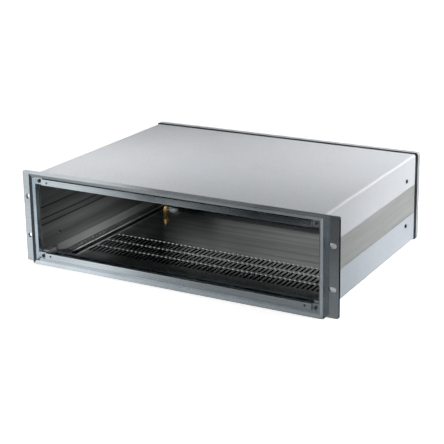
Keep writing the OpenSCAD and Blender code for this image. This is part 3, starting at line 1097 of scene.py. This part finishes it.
@dataclass(frozen=True)
class Bay:
    """A light panel of the surround, as metal mirrors it.

    Attributes:
        bearing: Its two sides, in degrees from the front towards the left.
        rise: Its lower and upper edge, in degrees above the horizon.
        glow: Its brightness.
        fade: Half the width of its soft edges, in degrees.
    """

    bearing: tuple[float, float]
    rise: tuple[float, float]
    glow: float
    fade: float = 2.0


@dataclass
class Studio:
    """Pale floor, white surround that metal mirrors as light and dark bays, and soft lamps.

    Attributes:
        floor_size: Width of the floor in metres.
        floor_color: Its colour.
        painted_shadow_color: Its colour under the case.
        floor_glow: How bright it shows near the case, where 1 is white.
        floor_reach: Distances between which that rises to white.
        footprint: Half the width and depth of the floor that lies under the case.
        footprint_fade: Width of that area's soft edge.
        backdrop: Brightness of the surround to look at.
        first_bounce: Depth below which light hasn't met a matt surface yet.
        bays: What metal mirrors.
        lamps: What lights the case.
    """

    floor_size: float = 12.0
    floor_color: Color = (0.85, 0.85, 0.85)
    # Painted shadow: the floor's dark colour under the case.
    painted_shadow_color: Color = (0.03, 0.03, 0.03)
    floor_glow: float = 0.92
    floor_reach: tuple[float, float] = (0.3, 0.9)
    footprint: tuple[float, float] = (0.19, 0.135)
    footprint_fade: float = 0.02
    backdrop: float = 1.25
    first_bounce: float = 0.5
    bays: tuple[Bay, ...] = (
        Bay((34.5, 60.0), (-40.0, -19.0), 1.05),
        Bay((35.0, 60.0), (-19.0, 5.0), 1.22),
        Bay((33.0, 70.0), (5.0, 40.0), 1.7),
        Bay((120.0, 146.0), (-5.0, 40.0), 1.05),
        Bay((146.0, 210.0), (-5.0, 14.0), 0.78),
        Bay((146.0, 210.0), (14.0, 40.0), 0.1),
        Bay((12.0, 34.5), (-40.0, -19.6), 0.32),
        Bay((-75.0, -35.5), (-40.0, 10.0), 1.3, 1.5),
        Bay((-75.0, 33.0), (10.0, 40.0), 0.46),
        Bay((-30.0, 33.0), (-95.0, -40.0), 1.2),
        Bay((31.5, 36.0), (-19.9, -18.4), 1.5, 0.35),
        Bay((-14.0, 10.0), (-40.0, -8.0), 0.1),
        Bay((38.0, 72.0), (-70.0, -42.0), 0.26),
        Bay((49.0, 72.0), (-70.0, -42.0), 0.3, 3.0),
        Bay((62.0, 72.0), (-40.0, -8.0), 0.5),
        Bay((-46.0, -35.5), (-24.0, -10.0), 0.9, 1.5),
        Bay((-33.0, -14.0), (-40.0, -8.0), 0.22, 1.0),
        Bay((0.0, 360.0), (46.0, 95.0), 0.5),
        Bay((76.0, 116.0), (-30.0, 40.0), 0.4),
    )
    lamps: tuple[SoftLamp, ...] = (
        SoftLamp("side_lamp", (1.7, 0.36, 0.9), (0.1, 0.0, 0.07), size=1.0, power=12.5),
        SoftLamp("panel_lamp", (-0.6, -1.85, 0.152), (0.1, 0.16, 0.07), size=0.35, power=0.2,
                 spread=14.0, flatness=0.15),
        SoftLamp("high_panel_lamp", (0.45, -1.75, 0.15), (-0.15, 0.162, 0.1), size=0.08,
                 power=0.01, spread=3.2),
        SoftLamp("wall_lamp", (0.75, -1.7, 0.42), (-0.215, -0.05, 0.018), size=0.03,
                 power=0.021, spread=4.4),
        SoftLamp("stud_lamp", (0.5, -1.75, 0.28), (-0.1696, 0.0955, 0.022), size=0.008,
                 power=0.004, spread=0.6),
        SoftLamp("right_pool_lamp", (1.2, 0.3, 1.5), (0.24, 0.2, 0.13), size=0.4, power=1.75,
                 spread=34.0),
        SoftLamp("front_pool_lamp", (-0.3, 0.0, 1.85), (-0.22, -0.12, 0.13), size=0.3,
                 power=0.3, spread=18.0),
        SoftLamp("back_fill", (-1.5, 1.3, 0.25), (-0.1, 0.1, 0.07), size=0.5, power=6.0),
    )

    def build(self) -> None:
        """Builds the floor, the world and the lamps."""
        self._floor()
        self._world()
        for lamp in self.lamps:
            lamp.build()
        bpy.context.scene.view_settings.view_transform = "Standard"

    def _floor(self) -> None:
        """Adds the white floor, which keeps the case's shadow and has a painted shadow under it."""
        Bench.clear()
        bpy.ops.mesh.primitive_plane_add(size=self.floor_size, location=(0, 0, 0))
        floor = bpy.context.object
        floor.name = "studio_floor"
        material = bpy.data.materials.new("studio_floor")
        make = NodeTree.of(material)
        place = make.add("ShaderNodeTexCoord").outputs["Object"]
        beyond = self._outside_painted_shadow(make, place)
        matt = make.add("ShaderNodeBsdfDiffuse")
        # The matt colour is dark under the case: a painted shadow.
        make.join(make.blend(beyond, self.painted_shadow_color, self.floor_color), matt.inputs["Color"])
        away = make.add("ShaderNodeVectorMath", operation="LENGTH")
        make.join(place, away.inputs[0])
        white = make.ramp(away.outputs["Value"], *self.floor_reach, self.floor_glow, 1.0)
        path = make.add("ShaderNodeLightPath")
        seen = make.math("MAXIMUM", self._direct(make, path), path.outputs["Is Glossy Ray"])
        glow = make.add("ShaderNodeEmission")
        # No glow under the case: part of the painted shadow.
        make.join(make.math("MULTIPLY", seen, make.math("MULTIPLY", beyond, white)),
                  glow.inputs["Strength"])
        both = make.add("ShaderNodeAddShader")
        make.join(matt.outputs[0], both.inputs[0])
        make.join(glow.outputs[0], both.inputs[1])
        end = make.add("ShaderNodeOutputMaterial")
        make.join(both.outputs[0], end.inputs["Surface"])
        floor.data.materials.append(material)
        floor.visible_glossy = False

    def _outside_painted_shadow(self, make: NodeTree, place: Socket) -> Socket:
        """Gives 0 on the floor under the case, where the shadow is painted, and 1 beyond it.

        Args:
            make: The floor's node tree.
            place: Socket of the object coordinates.

        Returns:
            The mask's socket.
        """
        beyond = []
        for axis, half in zip((Axis.X, Axis.Y), self.footprint):
            away = make.math("ABSOLUTE", make.part(place, axis))
            beyond.append(make.ramp(away, half, half + self.footprint_fade))
        return make.math("MAXIMUM", *beyond)

    @staticmethod
    def _direct(make: NodeTree, path: bpy.types.Node) -> Socket:
        """Gives 1 for rays that come straight from the camera or through glass."""
        return make.math("MAXIMUM", path.outputs["Is Camera Ray"],
                         path.outputs["Is Transmission Ray"])

    def _world(self) -> None:
        """Builds the surround: white to look at, in light and dark bays for metal."""
        world = bpy.data.worlds.new("studio_surround")
        bpy.context.scene.world = world
        make = NodeTree.of(world)
        path = make.add("ShaderNodeLightPath")
        plain = make.math("MULTIPLY", self._direct(make, path), self.backdrop)
        straight = make.math("LESS_THAN", path.outputs["Diffuse Depth"], self.first_bounce)
        glossy = make.math("MULTIPLY", path.outputs["Is Glossy Ray"], straight)
        mirrored = make.math("MULTIPLY", glossy, self._mirrored(make))
        back = make.add("ShaderNodeBackground")
        make.join(make.math("MAXIMUM", plain, mirrored), back.inputs["Strength"])
        end = make.add("ShaderNodeOutputWorld")
        make.join(back.outputs[0], end.inputs["Surface"])

    def _mirrored(self, make: NodeTree) -> Socket:
        """Gives the surround's brightness in each direction as metal mirrors it.

        Args:
            make: The world's node tree.

        Returns:
            The brightness's socket.
        """
        way = make.add("ShaderNodeTexCoord").outputs["Generated"]
        left, front = (make.math("MULTIPLY", make.part(way, axis), -1.0)
                       for axis in (Axis.X, Axis.Y))
        bearing = make.math("ARCTAN2", left, front)
        rise = make.math("ARCSINE", make.part(way, Axis.Z))
        light: Value = 0.0
        for bay in self.bays:
            start, end = map(math.radians, bay.bearing)
            off = make.math("SUBTRACT", bearing, (start + end) / 2)
            off = make.math("ABSOLUTE", make.math("WRAP", off, math.pi, -math.pi))
            fade = math.radians(bay.fade)
            across = self._within(make, off, -math.tau, (end - start) / 2, fade)
            up = self._within(make, rise, *map(math.radians, bay.rise), fade)
            light = make.math("MULTIPLY_ADD", make.math("MULTIPLY", across, bay.glow), up, light)
        return light

    @staticmethod
    def _within(make: NodeTree, angle: Socket, low: float, high: float, fade: float) -> Socket:
        """Gives 1 between two angles, with soft ends.

        Args:
            make: The world's node tree.
            angle: Socket of the angle.
            low: Lower end in radians.
            high: Upper end in radians.
            fade: Half the width of the soft ends in radians.

        Returns:
            The mask's socket.
        """
        above = make.ramp(angle, low - fade, low + fade)
        return make.math("MULTIPLY", above, make.ramp(angle, high + fade, high - fade))


def main() -> None:
    """Builds the case's sub-assemblies, the camera and the studio in order."""
    logging.basicConfig(level=logging.INFO)
    PhotoCamera().build()
    shop = FinishShop()
    for part in (Frames, Rails, Shell, Fasteners, EarthTerminal):
        part(shop).build()
    Studio().build()


if __name__ == "__main__":
    main()
